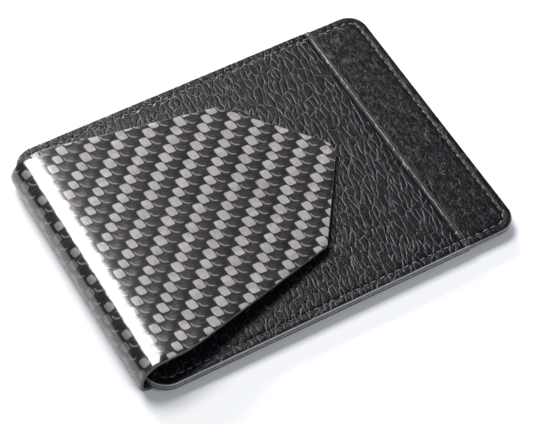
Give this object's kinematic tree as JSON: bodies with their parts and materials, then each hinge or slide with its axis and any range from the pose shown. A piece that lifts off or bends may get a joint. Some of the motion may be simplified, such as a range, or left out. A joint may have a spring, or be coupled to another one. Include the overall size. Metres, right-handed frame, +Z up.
{
  "type": "money clip card holder",
  "caption": "Slim leather card holder with a U-bent carbon-fibre spring clip round one short edge that presses folded notes against its front.",
  "frame": {"origin": "centre of the bounding box in X and Y, at its bottom, which is the underside of the clip's lower leaf", "axes": "+X from the clip's bend towards the pocket mouths, +Y towards the far long edge, +Z up out of the front face"},
  "size_m": [0.0948, 0.071, 0.0084],
  "materials": {
    "carbon": "clear-coated 2x2 carbon twill",
    "pebbled_leather": "black pebbled grain",
    "smooth_leather": "black fine grain, painted edges",
    "lining": "thin black twill",
    "core": "fibre board",
    "thread": "waxed black polyester",
    "film": "pressure-sensitive adhesive film"
  },
  "bodies": {
    "holder": {"clip_base": "carbon", "clip_bonding_film": "film", "front_pocket_panel": "pebbled_leather", "front_pocket_lining": "lining", "front_base_panel": "smooth_leather", "core_stiffener": "core", "back_base_panel": "smooth_leather", "back_pocket_lining": "lining", "back_pocket_panel": "pebbled_leather", "front_thread": "thread", "back_thread": "thread"},
    "leaf": {"clip_leaf": "carbon"}
  },
  "joints": [
    {"name": "clip_opening", "type": "hinge", "parent": "holder", "child": "leaf", "pos_m": [-0.04738, 0, 0.00302], "axis": [0, -1, 0], "range_deg": [0, 6], "stiffness_Nm_per_rad": 0.5}
  ]
}
